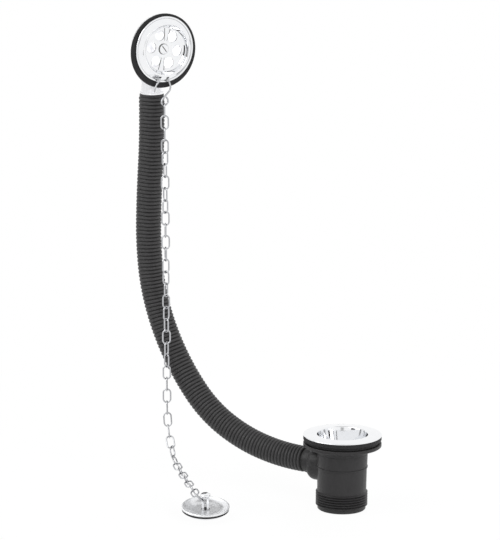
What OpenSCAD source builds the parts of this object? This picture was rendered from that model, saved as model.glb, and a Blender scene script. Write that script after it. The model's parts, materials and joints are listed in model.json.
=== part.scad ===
// Plug and chain bath waste: a plastic waste with a chrome flange, a corrugated
// overflow hose, a white overflow elbow behind a chrome rose, and a plug on an
// oval link chain that hangs from a wire stay in the rose.
// The seat of the chrome flange is the plane z = 0, the axis of the waste is Z,
// and the overflow stands on the -X side. All sizes are in millimetres.

/* [Chrome flange] */
// Diameter of the flange
flange_d = 72.4; // [66:0.2:85]
// Thickness of the flange at its outer edge
flange_edge_t = 0.8; // [0.6:0.1:2.4]
// Rise of the flange from its edge to the brim of the throat
flange_crown = 0.8; // [0.3:0.1:1.5]
// Diameter of the throat at its brim, where the plug goes in
throat_d = 46.6; // [45.4:0.2:50]
// Radius of the rounded brim
brim_r = 1.2; // [0.8:0.1:1.6]
// Depth over which the throat tapers to the tail
seat_h = 14; // [10:0.5:18]
// Wall of the throat and the tail
tail_wall = 1.2; // [0.8:0.1:1.6]
// Depth of the tail below the seat of the flange
tail_h = 39; // [37:0.5:44]
// Width of each overflow window in the tail
window_w = 15; // [10:0.5:18]
// Height of each overflow window in the tail
window_h = 9; // [6:0.5:11]

/* [Washers under the flange] */
// Thickness of the upper washer
upper_washer_t = 3.85; // [2:0.05:5]
// Thickness of the lower washer
lower_washer_t = 2.75; // [2:0.05:5]
// How far the edge of the lower washer stands back from the flange
lower_washer_step = 2.4; // [1:0.1:6]

/* [Waste body] */
// Diameter of the neck under the rim
neck_top_d = 48.2; // [47:0.1:52]
// Diameter of the body below the neck
body_d = 47; // [46.2:0.1:48]
// Diameter of the body above the thread
body_end_d = 45.2; // [44.6:0.1:46]
// Bore that takes the tail of the flange
socket_d = 41.4; // [41:0.1:42]
// Bore of the outlet
outlet_d = 39; // [36:0.5:40]
// Length from the seat of the flange to the end of the outlet
waste_h = 69.5; // [64:0.5:80]
// How far the rim of the body stands back from the edge of the flange
rim_step = 0.2; // [0:0.1:3]
// Thickness of the rim at its edge
rim_t = 3.2; // [2:0.1:4.5]
// Height of the neck under the rim
neck_top_h = 6.2; // [4:0.1:8]
// Diameter of the crests of the outlet thread, 1 1/2 inch
thread_d = 47.8; // [47.4:0.1:48.4]
// Pitch of the outlet thread, 11 to the inch
thread_pitch = 2.309; // [2:0.001:2.6]
// Depth of the outlet thread
thread_depth = 1.3; // [0.8:0.1:1.48]
// Number of thread ridges
thread_turns = 6; // [4:1:6]
// Plain length below the thread
lead_h = 3.5; // [2:0.5:8]

/* [Overflow inlet] */
// Depth of the inlet's axis below the seat of the flange
inlet_z = 29.3; // [27:0.1:31]
// Diameter of the collar around the hose spigot
collar_d = 24; // [23:0.2:28]
// Distance from the axis of the waste to the end of the hose
hose_x = 36.5; // [34:0.5:42]
// Diameter of the chamber below the collar
chamber_d = 26.4; // [24:0.2:30]
// How far the chamber's axis lies below the collar's
chamber_drop = 4; // [0:0.5:5]
// Distance from the axis of the waste to the end of the chamber
chamber_x = 34.2; // [30:0.1:36]
// Radius of the chamber's rounded end
shoulder_r = 7.5; // [2:0.5:10]
// Length of each spigot inside the hose
spigot_l = 12; // [8:1:16]

/* [Overflow hose] */
// Distance from the axis of the waste to the axis of the overflow elbow
reach = 213.6; // [190:0.2:260]
// Height of the centre of the rose above the seat of the flange
overflow_z = 340.6; // [320:0.2:380]
// Diameter over the corrugations
hose_d = 23.9; // [22.5:0.1:25]
// Depth of the corrugations
rib_depth = 0.9; // [0.5:0.1:1.2]
// Pitch of the corrugations
rib_pitch = 3.5; // [3.2:0.1:5]
// Bore of the hose
hose_bore = 19; // [18.6:0.1:19.6]
// Length of the plain cuff at each end
cuff_l = 2.8; // [2:0.1:5]

/* [Overflow elbow] */
// Angle by which the rose is turned on the hose, seen from above
rose_turn = -24; // [-45:1:0]
// Diameter of the neck
neck_d = 19.6; // [19:0.2:21]
// Drop from the centre of the rose to the top of the hose
neck_drop = 44.5; // [42:0.5:60]
// Radius of the bend from the neck to the cup
neck_bend = 11; // [10.5:0.1:13]
// Drop from the centre of the rose to the axis of the leg behind the cup
leg_drop = 13.5; // [13.5:0.1:15]
// Diameter of the cup behind the washer
cup_d = 50; // [48:0.5:54]
// Distance from the axis of the neck to the back of the cup
cup_back = 9; // [8:0.1:11]
// Distance from the axis of the neck to the face that the washer sits on
seat_l = 18.8; // [17:0.1:24]
// Diameter of the seat
seat_d = 65; // [60:0.5:68]
// Thickness of the seat
seat_t = 3; // [2:0.1:4]
// Wall of the cup
elbow_wall = 2.2; // [1.8:0.1:2.6]

/* [Overflow rose] */
// Diameter of the rose
rose_d = 61.4; // [61:0.1:64]
// Thickness of the chrome sheet
rose_t = 1; // [0.8:0.1:1.2]
// Diameter over the crest of the bead around the dish
bead_d = 48.6; // [47:0.2:50]
// Height of the bead above the edge of the rose
bead_h = 5.2; // [4.4:0.1:6]
// Depth of the dish below the crest of the bead
dish_depth = 5.4; // [4.5:0.1:6.5]
// Number of holes in the dish
hole_count = 6; // [4:1:7]
// Diameter of each hole
hole_d = 9.8; // [6:0.2:10]
// Radius of the circle of holes
hole_ring_r = 13.9; // [13.4:0.1:14.4]
// Thickness of the rubber washer behind the rose
rose_washer_t = 2.8; // [2:0.1:8]
// Outside diameter of the rubber washer
rose_washer_d = 69.1; // [68:0.1:76]
// Bore of the rubber washer
rose_washer_bore = 51; // [50.5:0.1:54]
// How far the loose washer hangs below the centre of the rose
washer_drop = 1.6; // [0:0.1:2]

/* [Chain stay] */
// Diameter of the wire
stay_d = 1.6; // [1.2:0.1:1.8]
// Radius of the circle through the two holes that the wire passes
stay_hole_r = 26.5; // [26.2:0.1:26.5]
// Depth of the eye's lowest point below the centre of the rose
eye_drop = 51.7; // [50:0.1:60]

/* [Chain] */
// Number of links
link_count = 39; // [38:1:42]
// Diameter of the wire of a link
link_wire = 1.4; // [1:0.1:1.5]
// Length of a link over its ends
link_l = 14.1; // [13.6:0.1:14.6]
// Width of a link
link_w = 8.2; // [7.8:0.1:9]
// Lean of the hanging run from the vertical
hang_lean = 2.8; // [2:0.1:3.5]
// Radius of the turn at the foot of the hanging run
turn_r = 52; // [45:1:60]
// Direction of the chain's foot, seen from above
chain_az = -42.2; // [-50:0.1:-38]

/* [Plug] */
// Diameter of the plug, 1 3/4 inch
plug_d = 44.4; // [43:0.1:45]
// Thickness of the chrome sheet of the disc
plug_sheet = 0.8; // [0.6:0.1:1.2]
// Depth of the dish in the top of the plug
plug_dish = 3.5; // [1:0.1:4.5]
// Diameter of the dish
plug_dish_d = 41; // [38:0.2:42]
// Height of the turned-down edge of the disc
plug_edge_h = 1.5; // [1.3:0.1:3]
// Thickness of the rubber seal below that edge
plug_seal_t = 2.2; // [1.2:0.1:2.4]
// Height of the plug from the rim of the disc to the bottom of the foot
plug_h = 6.3; // [5.5:0.1:9]
// Diameter of the foot
foot_d = 38.4; // [36:0.2:40]
// Diameter of the knob on the post
knob_d = 9.2; // [8:0.1:11]
// Height of the knob's underside above the rim of the disc
knob_z = 9.2; // [8:0.1:12]
// Width of the post
post_w = 6.4; // [5.8:0.1:7]
// Thickness of the post
post_t = 2.4; // [1.8:0.1:2.6]
// Width of the slot in the post
slot_w = 2.8; // [2.6:0.1:3.2]
// Height above the rim of the disc at which the last link passes the slot
link_rest = 2.3; // [1:0.1:5]
// Tilt of the plug where it lies
plug_tilt = 8; // [0:0.5:12]
// Height of the plug's lowest point above the end of the outlet
plug_lift = 2; // [0:0.1:4]

/* [Hidden] */
$fn = 64;
eps = 0.01;
// Clearance between a piece and what it slides into
fit = 0.3;
// Gap between two links where they bear on each other
link_gap = 0.05;
// Thickness of the thin lip at the edge of the rose
lip = 0.7;

flange_r = flange_d / 2;
brim_z = flange_edge_t + flange_crown;
tail_r = socket_d / 2 - fit;
tail_bore_r = tail_r - tail_wall;
throat_r = throat_d / 2;
rim_z = -(upper_washer_t + lower_washer_t);
rim_r = flange_r - rim_step;
throat_out_r = throat_r + tail_wall;
body_r = body_d / 2;
body_end_r = body_end_d / 2;
neck_z = rim_z - rim_t;
thread_z = -(waste_h - lead_h - thread_turns * thread_pitch);
chrome = [0.86, 0.87, 0.88];
charcoal = [0.23, 0.22, 0.23];
rubber = [0.09, 0.09, 0.09];

spigot_r = hose_bore / 2 - 0.15;
spigot_bore_r = spigot_r - 1.6;
collar_r = collar_d / 2;
chamber_r = chamber_d / 2;
hose_top = overflow_z - neck_drop;

rose_l = seat_l + rose_washer_t + lip;
rose_r = rose_d / 2;
bead_r = bead_d / 2;
floor_z = bead_h - dish_depth;
dish_r = bead_r - 4.4;
// The crease between the rolled edge and the slope up to the bead, and the dent that the screw head sits in
crease_r = rose_r - 1.9;
crease_h = 0.5;
edge_h = 0.95;
seat_dent = 1.1;
seat_dent_r = 5.2;
insert_r = 3;
insert_l = 6;
screw_r = 1.9;

link_a = (link_l - link_wire) / 2;
link_b = (link_w - link_wire) / 2;
link_meet = link_wire + link_gap;
link_pitch = 2 * link_a - link_meet;

function two(i) = i < 10 ? str("0", i) : str(i);
function link_name(i) = str("chain_link_", two(i));

// Points of an arc about c, from the angle a to the angle b
function arc(c, r, a, b, n = 8) = [for (i = [0:n]) c + r * [cos(a + (b - a) * i / n), sin(a + (b - a) * i / n)]];

// Turned profile of the flange: the crowned ring, the brim, the tapered seat and the tail
function flange_outline() = concat(
    arc([flange_r - flange_edge_t / 2, flange_edge_t / 2], flange_edge_t / 2, -90, 85, 6),
    arc([throat_r + brim_r, brim_z - brim_r], brim_r, 90, 180, 8),
    [[tail_bore_r, -seat_h], [tail_bore_r, -tail_h], [tail_r, -tail_h], [tail_r, -seat_h],
     [throat_out_r, brim_z - brim_r - 1.6], [throat_out_r, 0]]);

module waste_flange() {
    color(chrome)
    difference() {
        rotate_extrude() polygon(flange_outline());
        for (a = [0, 90]) rotate([0, 0, a])
            translate([-tail_r - 1, -window_w / 2, -inlet_z - window_h / 2])
                cube([2 * tail_r + 2, window_w, window_h]);
    }
}

module washer_ring(outer_r, inner_r, t, edge = 0.5) {
    rotate_extrude() polygon([
        [inner_r, 0], [outer_r - edge, 0], [outer_r, -edge],
        [outer_r, -t + edge], [outer_r - edge, -t], [inner_r, -t]]);
}

module upper_washer() {
    color(rubber) washer_ring(flange_r - 0.2, throat_out_r + fit, upper_washer_t);
}

module lower_washer() {
    color(rubber) translate([0, 0, -upper_washer_t])
        washer_ring(flange_r - lower_washer_step, throat_out_r + fit, lower_washer_t);
}

// Turned profile of the body, with the rim, the neck, the seam and the thread ridges
function body_outline() = concat(
    [[throat_out_r, rim_z], [rim_r - 0.5, rim_z], [rim_r, rim_z - 0.5], [rim_r, neck_z + 0.4],
     [rim_r - 0.4, neck_z]],
    arc([neck_top_d / 2 + 0.8, neck_z - 0.8], 0.8, 90, 180, 3),
    [[body_r - 0.2, neck_z - neck_top_h], [body_r, neck_z - neck_top_h - 1], [body_r - 0.3, -inlet_z + 0.7],
     [body_r + 0.2, -inlet_z + 0.5], [body_r + 0.1, -inlet_z - 0.5], [body_r - 0.6, -inlet_z - 0.8],
     [body_end_r, thread_z + 0.4]],
    [for (k = [0:thread_turns - 1]) each [
        [thread_d / 2 - thread_depth, thread_z - k * thread_pitch],
        [thread_d / 2, thread_z - (k + 0.4) * thread_pitch],
        [thread_d / 2, thread_z - (k + 0.6) * thread_pitch]]],
    [[thread_d / 2 - thread_depth, thread_z - thread_turns * thread_pitch],
     [thread_d / 2 - thread_depth - 0.4, thread_z - thread_turns * thread_pitch - 0.4],
     [thread_d / 2 - thread_depth - 0.4, -waste_h + 0.6], [thread_d / 2 - thread_depth - 1, -waste_h],
     [outlet_d / 2, -waste_h], [outlet_d / 2, -tail_h - fit], [socket_d / 2, -tail_h - fit],
     [socket_d / 2, -seat_h]]);

// Turned profiles of the inlet's collar with its spigot, and of the chamber's upper and lower half
function collar_outline() = [
    [0, 0], [collar_r, 0], [collar_r, hose_x - 0.4], [collar_r - 0.4, hose_x], [spigot_r, hose_x],
    [spigot_r, hose_x + spigot_l - 1], [spigot_r - 0.6, hose_x + spigot_l], [0, hose_x + spigot_l]];
function chamber_outline() = concat(
    [[0, 0], [chamber_r, 0]], arc([chamber_r - shoulder_r, chamber_x - shoulder_r], shoulder_r, 0, 90, 8),
    [[0, chamber_x]]);

module waste_body() {
    color(charcoal)
    difference() {
        union() {
            rotate_extrude() polygon(body_outline());
            difference() {
                union() {
                    at_inlet() rotate_extrude() polygon(collar_outline());
                    at_inlet() inlet_chamber();
                }
                translate([0, 0, -waste_h]) cylinder(r = (socket_d / 2 + body_end_r) / 2, h = waste_h + 5);
            }
        }
        at_inlet() cylinder(r = spigot_bore_r, h = hose_x + spigot_l + 1);
    }
}

// The chamber is round above and below and straight in between, with one rounded end
module inlet_chamber() {
    for (drop = [0, chamber_drop]) translate([-drop, 0, 0]) rotate_extrude() polygon(chamber_outline());
    rotate([0, -90, 0]) linear_extrude(chamber_drop)
        for (side = [-1, 1]) scale([1, side]) rotate(-90) polygon(chamber_outline());
}

// The frame of the inlet: out of the waste along +Z
module at_inlet() {
    translate([0, 0, -inlet_z]) rotate([0, -90, 0]) children();
}

// Centre line of the hose, from the elbow down, round the sweep and level into the inlet. Its angle from
// the vertical is set at shares of its length, and summed up in small steps.
hose_angles = [[0, 0], [0.015, 0], [0.03, 1], [0.16, -3.5], [0.28, -1], [0.38, 6.6], [0.48, 19.2],
    [0.58, 30.5], [0.68, 41.4], [0.78, 62], [0.88, 77.5], [0.98, 90], [1, 90]];
hose_steps = 160;
hose_sum = [for (i = 0, p = [0, 0]; i <= hose_steps + 1;
    p = p + hose_slope((i + 0.5) / hose_steps) / hose_steps, i = i + 1) p];
hose_start = [-reach, hose_top];
hose_span = [-hose_x, -inlet_z] - hose_start;
hose_l = norm(hose_span) / norm(hose_sum[hose_steps]);
hose_error = hose_span - hose_l * hose_sum[hose_steps];
function hose_slope(u) = let (a = lookup(u, hose_angles)) [sin(a), -cos(a)];
function hose_at(t) = let (u = t / hose_l, k = floor(u * hose_steps), f = u * hose_steps - k)
    hose_start + hose_l * ((1 - f) * hose_sum[k] + f * hose_sum[k + 1]) + (3 - 2 * u) * u * u * hose_error;
function hose_dir(t) = let (v = hose_at(min(hose_l, t + 0.5)) - hose_at(max(0, t - 0.5))) v / norm(v);
function hose_ring(t, r) = let (c = hose_at(t), d = hose_dir(t)) [for (k = [0:hose_sides - 1])
    [c[0] + r * cos(360 * k / hose_sides) * d[1], r * sin(360 * k / hose_sides),
     c[1] - r * cos(360 * k / hose_sides) * d[0]]];
hose_sides = 18;
hose_r = hose_d / 2;
rib_count = floor((hose_l - 2 * cuff_l) / rib_pitch);
rib_step = (hose_l - 2 * cuff_l) / rib_count;

module overflow_hose() {
    cuff = [[0, hose_r - 1.4], [0.8, hose_r - 0.6], [cuff_l - 0.8, hose_r - 0.6]];
    ribs = [for (k = [0:rib_count - 1]) each [
        [cuff_l + k * rib_step, hose_r - rib_depth], [cuff_l + (k + 0.5) * rib_step, hose_r]]];
    far_cuff = [[hose_l - cuff_l, hose_r - 1.5], [hose_l, hose_r - 1.5]];
    bore_steps = 30;
    bore = [for (k = [0:bore_steps]) [hose_l * (1 - k / bore_steps), hose_bore / 2]];
    rows = concat(cuff, ribs, far_cuff, bore);
    n = len(rows);
    m = hose_sides;
    color([0.2, 0.19, 0.2])
    polyhedron(
        points = [for (row = rows) each hose_ring(row[0], row[1])],
        faces = [for (i = [0:n - 1], k = [0:m - 1]) let (j = (i + 1) % n, q = (k + 1) % m) each [
            [i * m + k, i * m + q, j * m + q], [i * m + k, j * m + q, j * m + k]]],
        convexity = 6);
}

// The frame of the rose: its face looks along +Z, +X points down and +Y to the right
module at_rose() {
    translate([-reach, 0, overflow_z]) rotate([0, 0, rose_turn]) rotate([0, 90, 0]) children();
}

// The way through the elbow: up the neck, round the bend and out of the leg into the cup
module elbow_way(r, above) {
    translate([-reach, 0, hose_top - above]) cylinder(r = r, h = neck_drop - leg_drop - neck_bend + above);
    at_rose() translate([leg_drop + neck_bend, 0, neck_bend]) rotate([90, 0, 0]) rotate([0, 0, 180])
        rotate_extrude(angle = 90) translate([neck_bend, 0]) circle(r = r);
}

module overflow_elbow() {
    cup_r = cup_d / 2;
    pillar_l = seat_l - 2;
    color([0.93, 0.94, 0.95])
    difference() {
        union() {
            at_rose() translate([0, 0, cup_back]) cylinder(r = cup_r, h = seat_l - seat_t - cup_back + eps);
            at_rose() translate([0, 0, seat_l - seat_t]) cylinder(d = seat_d, h = seat_t);
            elbow_way(neck_d / 2, 0);
            translate([-reach, 0, hose_top]) cylinder(d = neck_d + 1.8, h = 1.4);
            translate([-reach, 0, hose_top - spigot_l]) cylinder(r = spigot_r, h = spigot_l + 1);
        }
        difference() {
            at_rose() translate([0, 0, cup_back + elbow_wall]) cylinder(r = cup_r - elbow_wall, h = seat_l);
            at_rose() cylinder(r = insert_r + 2.4, h = pillar_l);
        }
        at_rose() translate([0, 0, pillar_l - insert_l]) cylinder(r = insert_r, h = insert_l + 1);
        elbow_way(spigot_bore_r, spigot_l + 1);
        at_rose() translate([leg_drop, 0, neck_bend]) cylinder(r = spigot_bore_r, h = 1);
    }
}

// Brass insert that the rose screw bites into
module elbow_insert() {
    color([0.78, 0.64, 0.32])
    at_rose() translate([0, 0, seat_l - 2 - insert_l])
        difference() {
            cylinder(r = insert_r, h = insert_l);
            translate([0, 0, 0.8]) cylinder(r = screw_r, h = insert_l);
        }
}

module rose_washer() {
    r = rose_washer_d / 2;
    t = rose_washer_t;
    color(rubber)
    at_rose() translate([washer_drop, 0, seat_l])
        rotate_extrude() polygon([
            [rose_washer_bore / 2, 0], [r - 0.6, 0], [r, 0.6], [r, 0.42 * t], [r - 0.7, 0.5 * t],
            [r, 0.58 * t], [r, t - 0.6], [r - 0.6, t], [rose_washer_bore / 2, t]]);
}

// Front of the pressed rose, from under its rounded edge over the bead and down into the dish
function rose_front() = concat(
    [[rose_r - 0.7, edge_h], [rose_r - 1.2, edge_h], [crease_r, crease_h], [crease_r - 0.4, crease_h + 0.2]],
    arc([bead_r, bead_h - 1.4], 1.4, 40, 180, 7),
    [[dish_r + 1.1, floor_z + 1.1], [dish_r + 0.5, floor_z + 0.3], [dish_r, floor_z],
     [seat_dent_r + 2.4, floor_z], [seat_dent_r, floor_z - seat_dent], [screw_r + 0.3, floor_z - seat_dent]]);
// The same line set back by t, for the other side of the sheet
function set_back(p, t) = [for (i = [0:len(p) - 1])
    let (a = unit(p[max(1, i)] - p[max(1, i) - 1]), n = len(p) - 1, b = unit(p[min(n, i + 1)] - p[min(n, i + 1) - 1]))
    p[i] - t * unit([a[1] + b[1], -a[0] - b[0]]) / max(0.5, norm(a + b) / 2)];

module rose_plate() {
    front = rose_front();
    back = set_back(front, rose_t);
    n = len(back) - 1;
    edge = concat([[rose_r - rose_t, -lip], [rose_r, -lip]], arc([rose_r - 0.6, edge_h - 0.6], 0.6, 0, 90, 4));
    color(chrome)
    at_rose() translate([0, 0, rose_l])
        difference() {
            rotate_extrude() polygon(concat(edge, front, [for (i = [0:n]) back[n - i]]));
            for (k = [0:hole_count - 1]) rotate([0, 0, 20 + 360 * k / hole_count])
                translate([hole_ring_r, 0, floor_z - 2]) cylinder(d = hole_d, h = 4);
            for (p = stay_holes) translate([p[0], p[1], -2 * lip]) cylinder(d = stay_d + 0.8, h = 8);
        }
}

module rose_screw() {
    head_r = seat_dent_r - 0.6;
    head_z = rose_l + floor_z - seat_dent;
    screw_l = head_z - seat_l + 2 + insert_l - 0.8;
    color(chrome)
    at_rose() translate([0, 0, head_z])
        difference() {
            union() {
                rotate_extrude() polygon([
                    [0, 0], [head_r, 0], [head_r, 0.9], [head_r - 0.7, 1.5], [head_r / 2, 1.85], [0, 1.95]]);
                translate([0, 0, -screw_l]) cylinder(r = screw_r - 0.05, h = screw_l + eps);
            }
            rotate([0, 0, 38]) translate([-head_r - 1, -0.5, 1]) cube([2 * head_r + 2, 1, 2]);
        }
}

// The bent wire stay in the frame of the rose: down, right, and out from the edge plane
stay_turn = -5.3;
stay_half = 4.2;
stay_holes = [for (s = [-1, 1]) let (b = asin(stay_half / stay_hole_r) * s + stay_turn)
    [stay_hole_r * cos(b), stay_hole_r * sin(b)]];
stay_front = 3.55;
stay_back = stay_d / 2 - lip + 0.05;
eye_y = -1.8;
stay_route = [
    [38.6, -13, stay_front], [34.9, -12.2, stay_front], [31.2, -10.2, stay_front],
    [28.9, -7.6, stay_front], [stay_holes[0][0], stay_holes[0][1], stay_front],
    [stay_holes[0][0], stay_holes[0][1], stay_back], [stay_holes[1][0], stay_holes[1][1], stay_back],
    [stay_holes[1][0], stay_holes[1][1], stay_front], [31.4, 3.6, stay_front], [34.8, 4.9, stay_front],
    [38.4, 4, stay_front], [eye_drop - 10.2, 0.7, stay_front], [eye_drop - 6.2, -4, stay_front],
    [eye_drop - 2.6, -5.6, stay_front], [eye_drop, eye_y - 1.5, stay_front],
    [eye_drop, eye_y + 1.5, stay_front], [eye_drop - 2.6, 2.1, stay_front],
    [eye_drop - 5.6, 1.7, stay_front], [eye_drop - 7.4, 0, stay_front]];

module chain_stay() {
    color(chrome)
    at_rose() translate([0, 0, rose_l]) bent_wire(stay_route, stay_d);
}

// A round wire that runs straight between bends and rounds each corner of the route as widely as it can
function unit(v) = v / norm(v);
function bend_angle(r, i) = acos(unit(r[i] - r[i - 1]) * unit(r[i + 1] - r[i]));
function bend_len(r, i) = i == 0 || i == len(r) - 1 ? 0
    : min(8 * tan(bend_angle(r, i) / 2), 0.46 * min(norm(r[i] - r[i - 1]), norm(r[i + 1] - r[i])));
module bent_wire(r, d) {
    n = len(r) - 1;
    for (i = [0:n - 1]) {
        u = unit(r[i + 1] - r[i]);
        a = r[i] + bend_len(r, i) * u;
        h = norm(r[i + 1] - r[i]) - bend_len(r, i) - bend_len(r, i + 1);
        translate(a) rotate([0, acos(u[2]), atan2(u[1], u[0])]) cylinder(d = d, h = h, $fn = 24);
    }
    for (i = [1:n - 1]) {
        u = unit(r[i] - r[i - 1]);
        w = unit(r[i + 1] - r[i]);
        turn = bend_angle(r, i);
        x = -unit(w - (u * w) * u);
        z = cross(x, u);
        bend = bend_len(r, i) / tan(turn / 2);
        c = r[i] - bend_len(r, i) * u - bend * x;
        multmatrix([[x[0], u[0], z[0], c[0]], [x[1], u[1], z[1], c[1]], [x[2], u[2], z[2], c[2]]])
            rotate_extrude(angle = turn) translate([bend, 0]) circle(d = d, $fn = 24);
    }
}

// One oval link, with its length along Z and its width along X
module oval_link() {
    side = link_a - link_b;
    for (s = [0, 180]) rotate([0, s, 0]) {
        translate([0, 0, side]) rotate([90, 0, 0])
            rotate_extrude(angle = 180) translate([link_b, 0]) circle(d = link_wire, $fn = 24);
        translate([link_b, 0, -side]) cylinder(d = link_wire, h = 2 * side, $fn = 24);
    }
}

// The chain's path lies in one upright plane: a leaning run, a turn and a nearly level run.
// Points are given as distance out along chain_az and height above the start.
foot_slope = 85;
last_az = 20;
last_slope = 50;
last_roll = 15;
last_slack = 0.5;
foot_dir = spread(chain_az, foot_slope);
last_dir = spread(last_az, last_slope);
slot_low = -plug_dish + 0.5;
slot_high = knob_z - 1.2;
slot_z = -waste_h + plug_lift + (plug_h + link_rest) * cos(plug_tilt) + foot_d / 2 * sin(plug_tilt);
eye = rose_point([eye_drop, eye_y, rose_l + stay_front]);
chain_start = eye + [0, 0, (stay_d + link_gap) / 2];
// The last link hangs on the one before at an angle, so their wires meet on the bisector with some slack
last_hook = link_meet / 2 * foot_dir - link_meet * unit(foot_dir + last_dir) - last_slack * last_dir;
chain_fall = chain_start[2] - slot_z + last_hook[2] + 2 * link_a * last_dir[2];
chain_l = (link_count - 1) * link_pitch;
turn_l = turn_r * (foot_slope - hang_lean) * PI / 180;
hang_l = (chain_fall - turn_r * (sin(foot_slope) - sin(hang_lean)) - (chain_l - turn_l) * cos(foot_slope))
    / (cos(hang_lean) - cos(foot_slope));
function rose_point(p) = let (c = cos(rose_turn), s = sin(rose_turn))
    [-reach + p[2] * c - p[1] * s, p[2] * s + p[1] * c, overflow_z - p[0]];
function hang_at(t) = t * [sin(hang_lean), -cos(hang_lean)];
function turn_at(t) = let (a = hang_lean + t / turn_r * 180 / PI)
    hang_at(hang_l) + turn_r * [cos(hang_lean) - cos(a), sin(hang_lean) - sin(a)];
function path_at(t) =
    t < hang_l ? hang_at(t)
    : t < hang_l + turn_l ? turn_at(t - hang_l)
    : turn_at(turn_l) + (t - hang_l - turn_l) * [sin(foot_slope), -cos(foot_slope)];
function on_path(t) = let (p = path_at(t)) chain_start + [p[0] * cos(chain_az), p[0] * sin(chain_az), p[1]];
function spread(az, slope) = [sin(slope) * cos(az), sin(slope) * sin(az), -cos(slope)];
// Links lie crosswise in turn, and the hanging chain is twisted along its length
chain_twist = [[1, 0], [3, 0], [7, -90], [10, -10], [13, 10], [14, 35], [16, 68], [17, 64], [19, 32],
    [20, 5], [22, -55], [24, -90], [29, -90], [32, 0], [36, 0], [38, -20]];
function link_roll(i) = 33 - chain_az + 90 * (i % 2) + lookup(i, chain_twist);
last_start = on_path(chain_l) + last_hook;
slot_point = last_start + 2 * link_a * last_dir;

module chain_link(i) {
    p = on_path((i - 1) * link_pitch);
    q = on_path(i * link_pitch);
    v = q - p;
    last = i == link_count;
    c = last ? last_start + link_a * last_dir : (p + q) / 2;
    slope = last ? last_slope : atan2(norm([v[0], v[1]]), -v[2]);
    color(chrome)
    translate(c) rotate([0, 0, last ? last_az : chain_az]) rotate([0, -slope, 0])
        rotate([0, 0, last ? 90 + last_roll : link_roll(i)]) oval_link();
}

// The frame of the plug: the centre of its rim, with the post along +Z and the link on the -X side
post_az = 25;
module at_plug() {
    tilt_az = -57;
    translate(slot_point)
        rotate([0, 0, tilt_az]) rotate([0, plug_tilt, 0]) rotate([0, 0, post_az - tilt_az])
            translate([0, 0, -link_rest]) children();
}

// The dish falls from the rim to the flat that the post stands on. The foot lies under its inner part
// and the seal under the rest of it.
flat_r = post_w / 2 + 1;
dish_steps = 12;
seal_step = 10;
dish_curve = [for (k = [0:dish_steps]) let (u = k / dish_steps)
    [flat_r + u * (plug_dish_d / 2 - flat_r), -plug_dish * (1 - pow(u, 4))]];
function dish_back(k) = dish_curve[k] - [0, plug_sheet];
plug_edge_r = 1.2;
plug_r = plug_d / 2;
seal_bottom = -plug_edge_h - plug_seal_t;
shank_r = 2.1;
hole_r = shank_r + 0.1;

module plug_disc() {
    c = [plug_r - plug_edge_r, -plug_edge_r];
    color(chrome)
    at_plug() rotate_extrude() polygon(concat(
        [[hole_r, -plug_dish]], dish_curve, arc(c, plug_edge_r, 90, 0, 6),
        [[plug_r, -plug_edge_h], [plug_r - plug_sheet, -plug_edge_h]],
        arc(c, plug_edge_r - plug_sheet, 0, 90, 3),
        [for (k = [dish_steps:-1:0]) dish_back(k)], [[hole_r, -plug_dish - plug_sheet]]));
}

// Slotted post with a domed knob, riveted through the disc and the foot
module plug_post() {
    knob_r = knob_d / 2;
    color(chrome)
    at_plug() difference() {
        union() {
            translate([0, 0, -plug_dish]) cylinder(r = post_w / 2 + 0.6, h = 0.5);
            translate([-post_w / 2, -post_t / 2, -plug_dish + eps]) cube([post_w, post_t, knob_z + plug_dish]);
            translate([0, 0, knob_z]) rotate_extrude() polygon(concat(
                [[0, 0], [knob_r - 1.1, 0], [knob_r, 1.2]], arc([knob_r - 0.9, 1.6], 0.9, 0, 80, 4), [[0, 2.6]]));
            translate([0, 0, -plug_h + 0.4]) cylinder(r = shank_r, h = plug_h - plug_dish);
        }
        translate([-slot_w / 2, -post_t, slot_low]) cube([slot_w, 2 * post_t, slot_high - slot_low]);
    }
}

// The seal fills the turned-down edge of the disc and stands a little below it
module plug_seal() {
    inner_r = dish_curve[seal_step][0];
    color(rubber)
    at_plug() rotate_extrude() polygon(concat(
        [for (k = [seal_step:dish_steps]) dish_back(k)],
        arc([plug_r - plug_edge_r, -plug_edge_r], plug_edge_r - plug_sheet, 90, 0, 3),
        [[plug_r - plug_sheet, -plug_edge_h], [plug_r - 0.2, -plug_edge_h], [plug_r - 0.6, seal_bottom],
         [inner_r, seal_bottom]]));
}

// Chrome foot that holds the seal up against the disc
module plug_foot() {
    foot_r = foot_d / 2;
    color(chrome)
    at_plug() rotate_extrude() polygon(concat(
        [[hole_r, -plug_dish - plug_sheet]], [for (k = [0:seal_step]) dish_back(k)],
        [[dish_curve[seal_step][0], seal_bottom], [foot_r, seal_bottom],
         [foot_r - 0.3, -plug_h + 0.7], [foot_r - 1, -plug_h], [hole_r, -plug_h]]));
}

waste_flange();
upper_washer();
lower_washer();
waste_body();
overflow_hose();
overflow_elbow();
elbow_insert();
rose_washer();
rose_plate();
rose_screw();
chain_stay();
for (i = [1:link_count]) chain_link(i);
plug_disc();
plug_post();
plug_seal();
plug_foot();
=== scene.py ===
import json
from math import asin, cos, floor, pi, radians, sin

import bpy
from mathutils import Matrix, Vector


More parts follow.
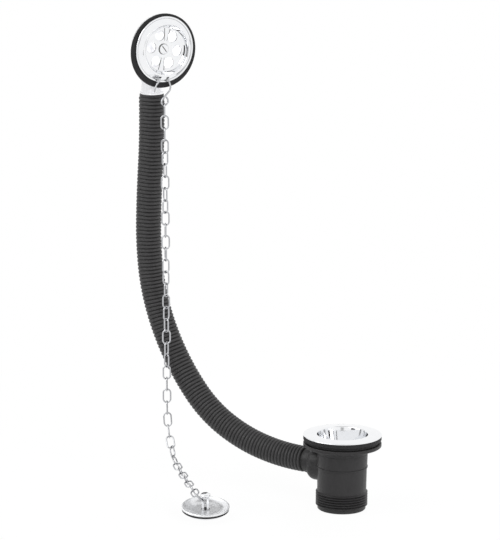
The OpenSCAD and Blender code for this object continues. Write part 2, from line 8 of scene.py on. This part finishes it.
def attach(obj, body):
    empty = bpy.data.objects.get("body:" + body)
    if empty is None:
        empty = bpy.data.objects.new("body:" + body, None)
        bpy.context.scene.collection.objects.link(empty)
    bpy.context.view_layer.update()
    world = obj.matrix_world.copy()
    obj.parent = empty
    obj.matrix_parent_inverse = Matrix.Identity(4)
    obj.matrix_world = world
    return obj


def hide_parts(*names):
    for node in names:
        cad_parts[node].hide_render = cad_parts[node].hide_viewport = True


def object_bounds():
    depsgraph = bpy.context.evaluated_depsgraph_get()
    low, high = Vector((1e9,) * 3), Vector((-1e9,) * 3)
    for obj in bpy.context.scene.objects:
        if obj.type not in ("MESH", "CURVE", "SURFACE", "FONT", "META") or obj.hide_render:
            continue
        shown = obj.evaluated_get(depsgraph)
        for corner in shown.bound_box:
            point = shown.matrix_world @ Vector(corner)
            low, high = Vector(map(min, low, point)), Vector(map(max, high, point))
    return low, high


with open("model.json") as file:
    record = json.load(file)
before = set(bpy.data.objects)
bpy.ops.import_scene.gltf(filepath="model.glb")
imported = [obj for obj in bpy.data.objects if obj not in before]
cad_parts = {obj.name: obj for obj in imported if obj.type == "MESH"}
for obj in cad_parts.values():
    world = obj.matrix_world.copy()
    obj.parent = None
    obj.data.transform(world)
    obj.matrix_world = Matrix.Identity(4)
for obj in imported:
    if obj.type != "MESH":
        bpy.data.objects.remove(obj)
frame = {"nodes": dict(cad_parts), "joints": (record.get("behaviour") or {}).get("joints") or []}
cad_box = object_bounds()
nodes = frame["nodes"]

# Camera
# A long lens over three metres off, a little above the rose and to the right of the hose,
# set so that the brim of the chrome flange lands where the photograph has it.
PICTURE_W, PICTURE_H = 500, 540
focal_px = 3500
flange_px = (342.5, 433.8)
flange_centre = Vector((0, 0, 0.0011))
px_per_metre = 1090
turn, dip, lean = radians(33), radians(12.7), radians(0.5)

look = Vector((-sin(turn) * cos(dip), cos(turn) * cos(dip), -sin(dip)))
level = Vector((cos(turn), sin(turn), 0))
upright = level.cross(look)
right = cos(lean) * level + sin(lean) * upright
up = cos(lean) * upright - sin(lean) * level
to_flange = (look + right * (flange_px[0] - PICTURE_W / 2) / focal_px
             - up * (flange_px[1] - PICTURE_H / 2) / focal_px)
eye = flange_centre - to_flange * focal_px / px_per_metre

lens = bpy.data.cameras.new("long_lens")
lens.sensor_width = 36
lens.lens = lens.sensor_width * focal_px / PICTURE_H
lens.clip_end = 60
camera = bpy.data.objects.new("camera", lens)
camera.matrix_world = Matrix.Translation(eye) @ Matrix((right, up, -look)).transposed().to_4x4()
bpy.context.collection.objects.link(camera)
bpy.context.scene.camera = camera
bpy.context.scene.view_settings.view_transform = "Standard"


# Overflow hose
# Corrugated polyethylene tube, blow moulded in rings and pushed over a spigot at each end.
# It leaves the elbow straight down, sweeps round and runs level into the waste.
HOSE_D = 0.0239
RIB_DEPTH = 0.0008
RIB_PITCH = 0.0035
HOSE_BORE = 0.019
CUFF = 0.0028
HOSE_STEPS = 160
HOSE_SIDES = 56
ROWS_PER_RIB = 8
SHARP_FROM = radians(38)
# The crest colour is the plastic's own; the much darker groove colour is painted shade.
HOSE_CREST = (0.042, 0.041, 0.042)
HOSE_GROOVE_SHADE = (0.004, 0.004, 0.004)
# Angle of the hose from the vertical, in degrees, at shares of its length
HOSE_ANGLES = [(0, 0), (0.015, 0), (0.03, 1), (0.16, -3.5), (0.28, -1), (0.38, 6.6), (0.48, 19.2),
               (0.58, 30.5), (0.68, 41.4), (0.78, 62), (0.88, 77.5), (0.98, 90), (1, 90)]
hose_start = Vector((-0.2136, 0, 0.2961))
hose_end = Vector((-0.0365, 0, -0.0293))


def hose_slope(u):
    """Direction of the hose at the share u of its length."""
    for (u0, a0), (u1, a1) in zip(HOSE_ANGLES, HOSE_ANGLES[1:]):
        if u <= u1:
            a = radians(a0 + (a1 - a0) * (u - u0) / (u1 - u0))
            return Vector((sin(a), 0, -cos(a)))
    return Vector((1, 0, 0))


hose_sum = [Vector((0, 0, 0))]
for i in range(HOSE_STEPS + 1):
    hose_sum.append(hose_sum[-1] + hose_slope((i + 0.5) / HOSE_STEPS) / HOSE_STEPS)
hose_length = (hose_end - hose_start).length / hose_sum[HOSE_STEPS].length
hose_error = hose_end - hose_start - hose_length * hose_sum[HOSE_STEPS]


def hose_at(t):
    """Point on the hose's centre line, t metres from the elbow."""
    u = min(1.0, max(0.0, t / hose_length))
    k = min(HOSE_STEPS, floor(u * HOSE_STEPS))
    part = hose_sum[k].lerp(hose_sum[k + 1], u * HOSE_STEPS - k)
    return hose_start + hose_length * part + (3 - 2 * u) * u * u * hose_error


def hose_row(t, radius, sides):
    """Ring of points round the centre line at t."""
    along = (hose_at(t + 0.0005) - hose_at(t - 0.0005)).normalized()
    side = Vector((0, 1, 0))
    out = side.cross(along)
    centre = hose_at(t)
    return [centre + radius * (cos(2 * pi * k / sides) * out + sin(2 * pi * k / sides) * side)
            for k in range(sides)]


def rib_height(share):
    """0 in the groove to 1 on the broad round crest, at a share of the pitch."""
    wave = 0.5 - 0.5 * cos(2 * pi * share)
    return 1 - (1 - wave) ** 2.8


def hose_profile():
    """Distance along the hose, radius and height on the rib, round the whole wall."""
    radius, bore = HOSE_D / 2, HOSE_BORE / 2
    ribs = floor((hose_length - 2 * CUFF) / RIB_PITCH)
    pitch = (hose_length - 2 * CUFF) / ribs
    rows = [(0, bore, 0), (0, radius - 0.0014, 0), (0.0004, radius - 0.0009, 0.4), (0.0010, radius - 0.0006, 0.6),
            (CUFF - 0.0008, radius - 0.0006, 0.6)]
    for k in range(ribs * ROWS_PER_RIB + 1):
        height = rib_height(k / ROWS_PER_RIB)
        rows.append((CUFF + k * pitch / ROWS_PER_RIB, radius - RIB_DEPTH * (1 - height), height))
    rows += [(hose_length - CUFF + 0.0004, radius - 0.0015, 0.4), (hose_length, radius - 0.0015, 0.4),
             (hose_length, bore, 0)]
    inside = 40
    rows += [(hose_length * (1 - k / inside), bore, 0) for k in range(1, inside)]
    return rows


def ring_mesh(name, rings, closed=True):
    """A mesh from rings of equal length, joined row to row, and the last to the first if closed."""
    sides = len(rings[0])
    verts = [p for ring in rings for p in ring]
    last = len(rings) if closed else len(rings) - 1
    faces = [(i * sides + k, i * sides + (k + 1) % sides,
              (i + 1) % len(rings) * sides + (k + 1) % sides, (i + 1) % len(rings) * sides + k)
             for i in range(last) for k in range(sides)]
    mesh = bpy.data.meshes.new(name)
    mesh.from_pydata(verts, [], faces)
    mesh.validate()
    mesh.shade_smooth()
    mesh.set_sharp_from_angle(angle=SHARP_FROM)
    made = bpy.data.objects.new(name, mesh)
    bpy.context.collection.objects.link(made)
    return made


def new_finish(name, roughness, metallic=0.0, specular=0.5):
    """A material with its shader's constant sockets set; place() gives its texture coordinates in the object's metres.
    """
    finish = bpy.data.materials.new(name)
    finish.use_nodes = True
    shader = finish.node_tree.nodes["Principled BSDF"]
    shader.inputs["Roughness"].default_value = roughness
    shader.inputs["Metallic"].default_value = metallic
    shader.inputs["Specular IOR Level"].default_value = specular
    return finish, finish.node_tree, shader


def place(tree):
    """The object's own coordinates, in metres."""
    found = tree.nodes.get("Texture Coordinate") or tree.nodes.new("ShaderNodeTexCoord")
    return found.outputs["Object"]


def grain(tree, per_metre, detail=3.0):
    """Fine noise with about that many specks to the metre."""
    noise = tree.nodes.new("ShaderNodeTexNoise")
    noise.inputs["Scale"].default_value = per_metre
    noise.inputs["Detail"].default_value = detail
    tree.links.new(place(tree), noise.inputs["Vector"])
    return noise.outputs["Fac"]


def between(tree, value, low, high, start=0.3, end=0.7):
    """A number from low to high as value goes from start to end."""
    scaled = tree.nodes.new("ShaderNodeMapRange")
    for socket, number in zip(("From Min", "From Max", "To Min", "To Max"), (start, end, low, high)):
        scaled.inputs[socket].default_value = number
    tree.links.new(value, scaled.inputs["Value"])
    return scaled.outputs["Result"]


def blend_colours(tree, value, low, high):
    """A colour from low to high as value goes from 0 to 1."""
    mix = tree.nodes.new("ShaderNodeMix")
    mix.data_type = "RGBA"
    mix.inputs["A"].default_value = (*low, 1)
    mix.inputs["B"].default_value = (*high, 1)
    tree.links.new(value, mix.inputs["Factor"])
    return mix.outputs["Result"]


def roughen(tree, shader, value, depth):
    """A bump of that depth in metres."""
    bump = tree.nodes.new("ShaderNodeBump")
    bump.inputs["Distance"].default_value = depth
    tree.links.new(value, bump.inputs["Height"])
    tree.links.new(bump.outputs["Normal"], shader.inputs["Normal"])


hose_rows = hose_profile()
hose = ring_mesh("hose_tube", [hose_row(t, r, HOSE_SIDES) for t, r, h in hose_rows])
height = hose.data.attributes.new("rib_height", "FLOAT", "POINT")
height.data.foreach_set("value", [h for t, r, h in hose_rows for k in range(HOSE_SIDES)])

hose_plastic, tree, shader = new_finish("hose_polyethylene", 0.5, specular=0.3)
# Painted shade: the rib_height attribute paints the grooves, cuffs and bore darker than the crests, under a random
# mottle.
rib = tree.nodes.new("ShaderNodeAttribute")
rib.attribute_name = "rib_height"
mottle = between(tree, grain(tree, 260), 0.8, 1.0)
crest = tree.nodes.new("ShaderNodeMath")
crest.operation = "MULTIPLY"
tree.links.new(rib.outputs["Fac"], crest.inputs[0])
tree.links.new(mottle, crest.inputs[1])
tree.links.new(blend_colours(tree, crest.outputs["Value"], HOSE_GROOVE_SHADE, HOSE_CREST), shader.inputs["Base Color"])
tree.links.new(between(tree, grain(tree, 420), 0.42, 0.58), shader.inputs["Roughness"])
roughen(tree, shader, grain(tree, 2600), 0.00003)
hose.data.materials.append(hose_plastic)
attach(hose, "waste")
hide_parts("overflow_hose")


# Studio
# A wide white sweep under the object and soft lamps round it. The sweep and the world show as
# plain white to the camera and in the chrome, and the sweep keeps the object's soft shadow. A gap
# between the screens overhead and black cards beside the camera give the chrome its dark accents.
SWEEP_SIZE = 14
SWEEP_WHITE = (0.93, 0.93, 0.94)
SHADOW_REACH = (0.25, 0.6)
SHADOW_LEFT = 0.95
FILL = 0.6
BEHIND_CAMERA = (0.975, 0.995)
GREY_ROOM = 0.32
DARK_GAP = 0.04
# Gaps between the white screens: direction, where they start and where they are full
GAPS = [((-0.141, 0.217, 0.966), 0.962, 0.976)]
sweep_z = cad_box[0][2] - 0.0002

sweep = ring_mesh("sweep", [[Vector((SWEEP_SIZE * cos(pi / 32 * k), SWEEP_SIZE * sin(pi / 32 * k), sweep_z))
                             for k in range(64)], [Vector((0, 0, sweep_z))] * 64], closed=False)
sweep_finish, tree, shader = new_finish("sweep_paper", 0.9, specular=0.0)
shader.inputs["Base Color"].default_value = (*SWEEP_WHITE, 1)


def seen_directly(tree):
    """1 for rays from the camera, and for those that metal or glass sends on."""
    path = tree.nodes.new("ShaderNodeLightPath")
    total = path.outputs["Is Camera Ray"]
    for name in ("Is Glossy Ray", "Is Transmission Ray"):
        either = tree.nodes.new("ShaderNodeMath")
        either.operation = "MAXIMUM"
        tree.links.new(total, either.inputs[0])
        tree.links.new(path.outputs[name], either.inputs[1])
        total = either.outputs["Value"]
    return total


glow = tree.nodes.new("ShaderNodeEmission")
glow.inputs["Strength"].default_value = 1.0
cover = tree.nodes.new("ShaderNodeMixShader")
reach = tree.nodes.new("ShaderNodeVectorMath")
reach.operation = "LENGTH"
tree.links.new(place(tree), reach.inputs[0])
plain = tree.nodes.new("ShaderNodeMath")
plain.operation = "MULTIPLY"
tree.links.new(seen_directly(tree), plain.inputs[0])
tree.links.new(between(tree, reach.outputs["Value"], SHADOW_LEFT, 1.0, *SHADOW_REACH), plain.inputs[1])
tree.links.new(plain.outputs["Value"], cover.inputs["Fac"])
tree.links.new(shader.outputs["BSDF"], cover.inputs[1])
tree.links.new(glow.outputs["Emission"], cover.inputs[2])
tree.links.new(cover.outputs["Shader"], tree.nodes["Material Output"].inputs["Surface"])
sweep.data.materials.append(sweep_finish)

world = bpy.data.worlds.new("studio_air")
bpy.context.scene.world = world
world.use_nodes = True
tree = world.node_tree
air = tree.nodes["Background"]


def facing(tree, direction):
    """How far a ray in the world points in a direction, from -1 to 1."""
    turned = tree.nodes.new("ShaderNodeVectorMath")
    turned.operation = "DOT_PRODUCT"
    turned.inputs[1].default_value = direction
    tree.links.new(tree.nodes.get("Texture Coordinate").outputs["Generated"], turned.inputs[0])
    return turned.outputs["Value"]


tree.nodes.new("ShaderNodeTexCoord").name = "Texture Coordinate"
screens = between(tree, facing(tree, -look), 1.0, GREY_ROOM, *BEHIND_CAMERA)
for direction, start, full in GAPS:
    darker = tree.nodes.new("ShaderNodeMath")
    darker.operation = "MINIMUM"
    tree.links.new(screens, darker.inputs[0])
    tree.links.new(between(tree, facing(tree, direction), 1.0, DARK_GAP, start, full), darker.inputs[1])
    screens = darker.outputs["Value"]
sky = blend_colours(tree, screens, (0, 0, 0), (1, 1, 1))
tree.links.new(sky, air.inputs["Color"])
tree.links.new(between(tree, seen_directly(tree), FILL, 1.0, 0.0, 1.0), air.inputs["Strength"])


# Black cards: where each stands on the sweep, seen from the middle of the object, its width and height
CARD_DISTANCE = 1.25
CARDS = [(-108, 0.42, 0.9), (-150, 0.14, 0.9)]
card_black, tree, shader = new_finish("card_black", 0.9, specular=0.0)
tree.links.new(blend_colours(tree, grain(tree, 30), (0.010, 0.010, 0.010), (0.016, 0.016, 0.016)),
               shader.inputs["Base Color"])
for turned_by, width, tall in CARDS:
    out = Vector((cos(radians(turned_by)), sin(radians(turned_by)), 0))
    across = Vector((-out.y, out.x, 0)) * width / 2
    foot = out * CARD_DISTANCE + Vector((0, 0, sweep_z + 0.01))
    mesh = bpy.data.meshes.new("black_card")
    mesh.from_pydata([foot - across, foot + across, foot + across + Vector((0, 0, tall)),
                      foot - across + Vector((0, 0, tall))], [], [(0, 1, 2, 3)])
    mesh.materials.append(card_black)
    card = bpy.data.objects.new("black_card", mesh)
    bpy.context.collection.objects.link(card)


def soft_lamp(name, place_at, aim, size, power):
    """A square lamp that shines from one point towards another."""
    lamp = bpy.data.lights.new(name, "AREA")
    lamp.size = size
    lamp.energy = power
    fitted = bpy.data.objects.new(name, lamp)
    fitted.location = place_at
    fitted.rotation_euler = (Vector(aim) - Vector(place_at)).to_track_quat("-Z", "Y").to_euler()
    bpy.context.collection.objects.link(fitted)
    return fitted


middle = (-0.1, -0.03, 0.13)
soft_lamp("key_lamp", (-1.1, -1.7, 1.5), middle, 2.2, 32)
soft_lamp("side_lamp", (1.9, -0.6, 0.9), middle, 1.4, 34).visible_glossy = False
soft_lamp("back_lamp", (-0.6, 1.6, 1.4), middle, 1.2, 16).visible_glossy = False


# Waste body
# Injection moulded charcoal polypropylene, in one piece with its rim, the overflow inlet, the hose
# spigot and the outlet thread. The mould leaves a fine satin grain on it.
BODY_DARK = (0.013, 0.0125, 0.013)
BODY_PALE = (0.021, 0.020, 0.021)
body_plastic, tree, shader = new_finish("moulded_polypropylene", 0.45, specular=0.35)
tree.links.new(blend_colours(tree, grain(tree, 90), BODY_DARK, BODY_PALE), shader.inputs["Base Color"])
tree.links.new(between(tree, grain(tree, 500), 0.36, 0.5), shader.inputs["Roughness"])
roughen(tree, shader, grain(tree, 1900), 0.00004)


def finish_node(name, finish):
    """Puts a finish on a piece that keeps its own shape."""
    for slot in nodes[name].material_slots:
        slot.material = finish


finish_node("waste_body", body_plastic)


# Washers
# Moulded black rubber rings: two under the flange and a thick one behind the rose. The rubber is
# dull, with a faint grey bloom.
RUBBER_DARK = (0.008, 0.008, 0.008)
RUBBER_BLOOM = (0.018, 0.018, 0.019)
washer_rubber, tree, shader = new_finish("washer_rubber", 0.6, specular=0.25)
tree.links.new(blend_colours(tree, grain(tree, 160), RUBBER_DARK, RUBBER_BLOOM), shader.inputs["Base Color"])
tree.links.new(between(tree, grain(tree, 700), 0.5, 0.7), shader.inputs["Roughness"])
roughen(tree, shader, grain(tree, 3200), 0.00003)
for name in ("upper_washer", "lower_washer", "rose_washer", "plug_seal"):
    finish_node(name, washer_rubber)


# Chrome flange
# Pressed brass, polished and chromed, with its throat and tail in one piece. The polish leaves
# the faintest waves, and handling leaves thin smears.
CHROME_DEEP = (0.86, 0.87, 0.89)
CHROME_BRIGHT = (0.93, 0.935, 0.945)
# Painted shade: a near-black colour mixed into the chrome by an ambient occlusion mask, in creases, slots and where
# parts meet.
PAINTED_CREVICE_SHADE = (0.03, 0.03, 0.032)
CREVICE = 0.0030


def paint_crevice_shade(tree, colour):
    """The colour with painted shade: darkened towards near black by ambient occlusion where two surfaces meet in a
    crease or a slot.
    """
    shelter = tree.nodes.new("ShaderNodeAmbientOcclusion")
    shelter.samples = 12
    shelter.inputs["Distance"].default_value = CREVICE
    mix = tree.nodes.new("ShaderNodeMix")
    mix.data_type = "RGBA"
    mix.inputs["A"].default_value = (*PAINTED_CREVICE_SHADE, 1)
    tree.links.new(between(tree, shelter.outputs["AO"], 0.0, 1.0, 0.30, 0.80), mix.inputs["Factor"])
    tree.links.new(colour, mix.inputs["B"])
    return mix.outputs["Result"]


def chrome_plate(name, waves, depth, deep=CHROME_DEEP, bright=CHROME_BRIGHT, gloss=(0.03, 0.11)):
    """Polished chrome with waves to the metre and their depth in metres, with painted shade in its creases and slots.
    """
    finish, tree, shader = new_finish(name, 0.05, metallic=1.0)
    plating = blend_colours(tree, grain(tree, 120), deep, bright)
    tree.links.new(paint_crevice_shade(tree, plating), shader.inputs["Base Color"])
    tree.links.new(between(tree, grain(tree, 300), *gloss), shader.inputs["Roughness"])
    roughen(tree, shader, grain(tree, waves, 1.0), depth)
    return finish


FLANGE_R, EDGE_T, CROWN, THROAT_R, BRIM_R = 0.0362, 0.0008, 0.0008, 0.0233, 0.0012
SEAT_H, TAIL_H, TAIL_R, TAIL_WALL = 0.014, 0.039, 0.0204, 0.0012
WINDOW_W, WINDOW_H, INLET_Z = 0.015, 0.009, -0.0293


def arc(x, z, radius, first, last, steps=8):
    """Points of an arc round (x, z), between two angles in degrees."""
    angles = [radians(first + (last - first) * k / steps) for k in range(steps + 1)]
    return [(x + radius * cos(a), z + radius * sin(a)) for a in angles]


def turned(name, outline, stand, sides=160):
    """A closed outline of radii and heights, turned round the Z axis of the matrix stand."""
    return ring_mesh(name, [[stand @ Vector((r * cos(2 * pi * k / sides), r * sin(2 * pi * k / sides), z))
                             for k in range(sides)] for r, z in outline])


def cut(piece, cutters):
    """Takes the cutters away from a piece, for good."""
    for cutter in cutters:
        knife = piece.modifiers.new("cut", "BOOLEAN")
        knife.object = cutter
        knife.solver = "EXACT"
    bpy.context.view_layer.update()
    whole = bpy.data.meshes.new_from_object(piece.evaluated_get(bpy.context.evaluated_depsgraph_get()))
    piece.modifiers.clear()
    piece.data = whole
    whole.set_sharp_from_angle(angle=SHARP_FROM)
    for cutter in cutters:
        bpy.data.objects.remove(cutter)


def box_cutter(name, size, centre):
    """A block to cut with."""
    x, y, z = (v / 2 for v in size)
    corners = [Vector(centre) + Vector((i * x, j * y, k * z)) for i in (-1, 1) for j in (-1, 1) for k in (-1, 1)]
    mesh = bpy.data.meshes.new(name)
    mesh.from_pydata(corners, [], [(0, 1, 3, 2), (4, 6, 7, 5), (0, 4, 5, 1), (2, 3, 7, 6), (0, 2, 6, 4), (1, 5, 7, 3)])
    made = bpy.data.objects.new(name, mesh)
    bpy.context.collection.objects.link(made)
    return made


brim_z = EDGE_T + CROWN
flange = turned("chrome_flange", (
    arc(FLANGE_R - EDGE_T / 2, EDGE_T / 2, EDGE_T / 2, -90, 85, 8)
    + arc(THROAT_R + BRIM_R, brim_z - BRIM_R, BRIM_R, 90, 180, 10)
    + [(TAIL_R - TAIL_WALL, -SEAT_H), (TAIL_R - TAIL_WALL, -TAIL_H), (TAIL_R, -TAIL_H), (TAIL_R, -SEAT_H),
       (THROAT_R + TAIL_WALL, brim_z - BRIM_R - 0.0016), (THROAT_R + TAIL_WALL, 0)]), Matrix())
cut(flange, [box_cutter("window_x", (3 * TAIL_R, WINDOW_W, WINDOW_H), (0, 0, INLET_Z)),
             box_cutter("window_y", (WINDOW_W, 3 * TAIL_R, WINDOW_H), (0, 0, INLET_Z))])
pressed_chrome = chrome_plate("pressed_chrome", 45, 0.00003)
flange.data.materials.clear()
flange.data.materials.append(pressed_chrome)
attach(flange, "waste")
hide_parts("waste_flange")


# Overflow elbow
# White acetal, moulded in one piece with its neck, the cup behind the rose and the seat of the
# washer. A brass insert in its pillar takes the screw.
ELBOW_WHITE = (0.80, 0.80, 0.81)
ELBOW_SHADE = (0.74, 0.745, 0.76)
elbow_plastic, tree, shader = new_finish("elbow_acetal", 0.28, specular=0.45)
tree.links.new(blend_colours(tree, grain(tree, 70), ELBOW_SHADE, ELBOW_WHITE), shader.inputs["Base Color"])
tree.links.new(between(tree, grain(tree, 600), 0.22, 0.34), shader.inputs["Roughness"])
roughen(tree, shader, grain(tree, 1500), 0.00002)
finish_node("overflow_elbow", elbow_plastic)

BRASS_DEEP = (0.55, 0.38, 0.14)
BRASS_BRIGHT = (0.78, 0.60, 0.28)
turned_brass, tree, shader = new_finish("turned_brass", 0.25, metallic=1.0)
tree.links.new(blend_colours(tree, grain(tree, 500), BRASS_DEEP, BRASS_BRIGHT), shader.inputs["Base Color"])
tree.links.new(between(tree, grain(tree, 900), 0.18, 0.34), shader.inputs["Roughness"])
finish_node("elbow_insert", turned_brass)


# Rose
# Chromed brass sheet, pressed with a bead round a flat dish and punched with six holes. Its
# slotted screw pulls it and the washer to the elbow.
ROSE_TURN = radians(-24)
ROSE_R, ROSE_T, LIP, EDGE_H = 0.0307, 0.001, 0.0007, 0.00095
BEAD_R, BEAD_H, BEAD_ROUND, FLOOR_Z = 0.0243, 0.0052, 0.0014, -0.0002
DENT_R, DENT, SCREW_HOLE_R = 0.0052, 0.0011, 0.0022
HOLES, HOLE_R, HOLE_RING_R, FIRST_HOLE = 6, 0.0049, 0.0139, radians(20)
STAY_HOLE_R, STAY_HOLE_RING_R, STAY_HALF, STAY_TURN = 0.0012, 0.0265, 0.0042, radians(-5.3)
rose_stand = (Matrix.Translation((-0.2136, 0, 0.3406)) @ Matrix.Rotation(ROSE_TURN, 4, "Z")
              @ Matrix.Rotation(pi / 2, 4, "Y") @ Matrix.Translation((0, 0, 0.0223)))


def set_back(line, t):
    """The same line on the other side of a sheet of the thickness t."""
    points = [Vector(p) for p in line]
    ways = [(q - p).normalized() for p, q in zip(points, points[1:])]
    back = []
    for p, a, b in zip(points, ways[:1] + ways, ways + ways[-1:]):
        off = Vector((a.y + b.y, -a.x - b.x)).normalized()
        back.append(tuple(p - t * off / max(0.5, (a + b).length / 2)))
    return back


def rod(name, x, y, low, high, radius, sides=48):
    """A round cutter along the axis of the rose."""
    return ring_mesh(name, [[rose_stand @ Vector((x + r * cos(2 * pi * k / sides), y + r * sin(2 * pi * k / sides), z))
                             for k in range(sides)] for r, z in ((1e-6, low), (radius, low), (radius, high), (1e-6, high))])


dish_r = BEAD_R - 0.0044
FLAT = 0.0003
rose_line = (
    [(ROSE_R - 0.0007, EDGE_H), (ROSE_R - 0.0012, EDGE_H), (ROSE_R - 0.0019, 0.0005), (ROSE_R - 0.0023, 0.0007)]
    + arc(BEAD_R, BEAD_H - BEAD_ROUND, BEAD_ROUND, 40, 180, 12)
    + [(dish_r + 0.0011, FLOOR_Z + 0.0011), (dish_r + 0.0005, FLOOR_Z + 0.0003), (dish_r, FLOOR_Z),
       (dish_r - FLAT, FLOOR_Z), (DENT_R + 0.0024 + FLAT, FLOOR_Z), (DENT_R + 0.0024, FLOOR_Z),
       (DENT_R, FLOOR_Z - DENT), (SCREW_HOLE_R, FLOOR_Z - DENT)])
rose = turned("chrome_rose", (
    [(ROSE_R - ROSE_T, -LIP), (ROSE_R, -LIP)] + arc(ROSE_R - 0.0006, EDGE_H - 0.0006, 0.0006, 0, 90, 6)
    + rose_line + set_back(rose_line, ROSE_T)[::-1]), rose_stand)
hole_places = [(HOLE_RING_R * cos(a), HOLE_RING_R * sin(a)) for a in
               (FIRST_HOLE + 2 * pi * k / HOLES for k in range(HOLES))]
stay_angles = [asin(STAY_HALF / STAY_HOLE_RING_R) * side + STAY_TURN for side in (-1, 1)]
cut(rose, [rod("hole_cutter", x, y, FLOOR_Z - 0.003, FLOOR_Z + 0.002, HOLE_R) for x, y in hole_places]
    + [rod("stay_cutter", STAY_HOLE_RING_R * cos(a), STAY_HOLE_RING_R * sin(a), -0.002, 0.006, STAY_HOLE_R)
       for a in stay_angles])
rose.data.materials.clear()
rose.data.materials.append(pressed_chrome)
# The walls of the punched holes are painted near black, as painted shade that draws a dark outline round each hole.
HOLE_SHADE_DARK = (0.02, 0.02, 0.021)
HOLE_SHADE_PALE = (0.05, 0.05, 0.052)
hole_outline_shade, tree, shader = new_finish("hole_outline_shade", 0.4, metallic=1.0)
tree.links.new(blend_colours(tree, grain(tree, 900), HOLE_SHADE_DARK, HOLE_SHADE_PALE), shader.inputs["Base Color"])
rose.data.materials.append(hole_outline_shade)
to_rose = rose_stand.inverted()
for face in rose.data.polygons:
    at = to_rose @ face.center
    if abs(at.z - FLOOR_Z + ROSE_T / 2) < ROSE_T and any(
            abs(Vector((at.x - x, at.y - y)).length - HOLE_R) < 0.0001 for x, y in hole_places):
        face.material_index = 1
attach(rose, "waste")
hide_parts("rose_plate")
finish_node("rose_screw", pressed_chrome)

# Light that the white cup scatters behind the holes, and that the chrome doesn't mirror
CUP_LAMPS, CUP_LAMP_R, CUP_LAMP_Z, CUP_LAMP_POWER = 4, 0.0212, -0.0065, 0.006
LEG_LAMP = (0.0135, 0, -0.0128)
cup_angles = [2 * pi * (k + 0.5) / CUP_LAMPS for k in range(CUP_LAMPS)]
for x, y, z in [(CUP_LAMP_R * cos(a), CUP_LAMP_R * sin(a), CUP_LAMP_Z) for a in cup_angles] + [LEG_LAMP]:
    lamp = bpy.data.lights.new("cup_lamp", "POINT")
    lamp.energy = CUP_LAMP_POWER
    lamp.shadow_soft_size = 0.001
    fitted = bpy.data.objects.new("cup_lamp", lamp)
    fitted.location = rose_stand @ Vector((x, y, z))
    fitted.visible_glossy = False
    bpy.context.collection.objects.link(fitted)


# Stay and chain
# The stay is one piece of chromed steel wire through two holes in the rose. The links are bent
# from thinner wire and chromed after they are joined. Their plating is thin and greyer.
WIRE_DEEP = (0.42, 0.425, 0.44)
WIRE_BRIGHT = (0.60, 0.605, 0.62)
# Painted shade from the crevice mask darkens the wire where the links touch each other and the stay.
wire_chrome = chrome_plate("wire_chrome", 400, 0.00002, WIRE_DEEP, WIRE_BRIGHT)
finish_node("chain_stay", wire_chrome)
for name in nodes:
    if name.startswith("chain_link_"):
        finish_node(name, wire_chrome)


# Plug
# A dished disc, spun and chromed to a satin face, with a rubber seal clamped under it by a chrome
# foot. The slotted post is riveted through all three.
PLUG_R, SHEET, DISH, PAN_R, FLAT_R, PLUG_HOLE_R = 0.0222, 0.0008, 0.0035, 0.0205, 0.0042, 0.0022
PLUG_EDGE_R, PLUG_EDGE_H = 0.0012, 0.0015
LINK_REST = 0.0023
PLUG_TILT, TILT_TOWARDS = radians(8), radians(-57)
DISH_STEPS = 24
slot_point = next(joint["pos_m"] for joint in frame["joints"] if joint["name"] == "plug_tip")
plug_stand = (Matrix.Translation(slot_point) @ Matrix.Rotation(TILT_TOWARDS, 4, "Z")
              @ Matrix.Rotation(PLUG_TILT, 4, "Y") @ Matrix.Translation((0, 0, -LINK_REST)))
dish = [(FLAT_R + k / DISH_STEPS * (PAN_R - FLAT_R), -DISH * (1 - (k / DISH_STEPS) ** 4))
        for k in range(DISH_STEPS + 1)]
disc = turned("chrome_disc", (
    [(PLUG_HOLE_R, -DISH)] + dish + arc(PLUG_R - PLUG_EDGE_R, -PLUG_EDGE_R, PLUG_EDGE_R, 90, 0, 10)
    + [(PLUG_R, -PLUG_EDGE_H), (PLUG_R - SHEET, -PLUG_EDGE_H)]
    + arc(PLUG_R - PLUG_EDGE_R, -PLUG_EDGE_R, PLUG_EDGE_R - SHEET, 0, 90, 5)
    + [(r, z - SHEET) for r, z in dish[::-1]] + [(PLUG_HOLE_R, -DISH - SHEET)]), plug_stand)
disc.data.materials.append(chrome_plate("spun_chrome", 45, 0.00003, gloss=(0.30, 0.36)))
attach(disc, "plug")
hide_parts("plug_disc")
for name in ("plug_post", "plug_foot"):
    finish_node(name, pressed_chrome)
